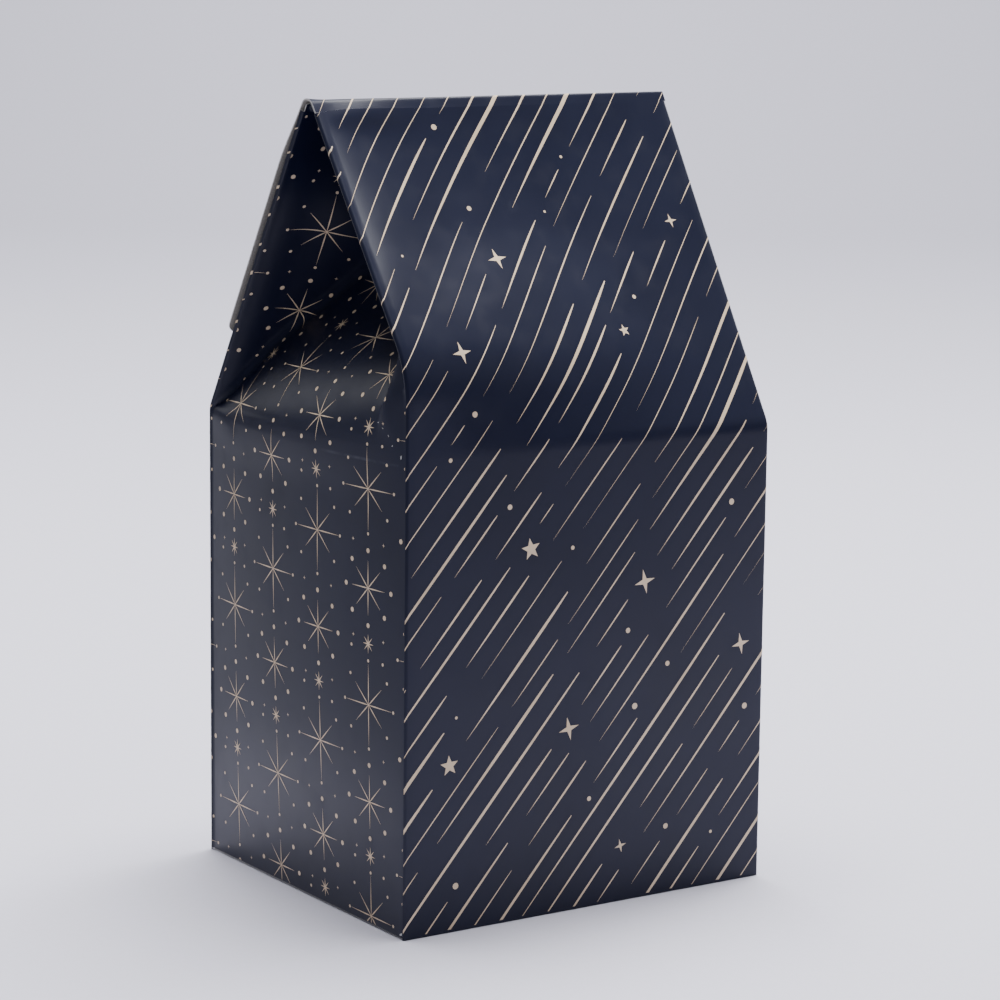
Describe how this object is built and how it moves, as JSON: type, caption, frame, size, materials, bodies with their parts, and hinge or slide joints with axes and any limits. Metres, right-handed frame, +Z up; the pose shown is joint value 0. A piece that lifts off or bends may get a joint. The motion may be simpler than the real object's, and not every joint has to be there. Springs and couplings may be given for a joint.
{
  "type": "gable box",
  "caption": "Folded board gift box with a gabled roof, open recesses under both gables and a closing flap over the ridge.",
  "frame": {"origin": "middle of the base, on the surface that the box stands on", "axes": "+Z up, X along the ridge, front face towards -Y"},
  "size_m": [0.13, 0.115, 0.238],
  "materials": {
    "printed_board": "satin",
    "printed_board_flap": "satin"
  },
  "bodies": {
    "box": {"carton": "printed_board"},
    "flap": {"closure_flap": "printed_board_flap"}
  },
  "joints": [
    {"name": "flap_hinge", "type": "hinge", "parent": "box", "child": "flap", "pos_m": [0, 0, 0.2367], "axis": [1, 0, 0], "range_deg": [0, 120]}
  ]
}
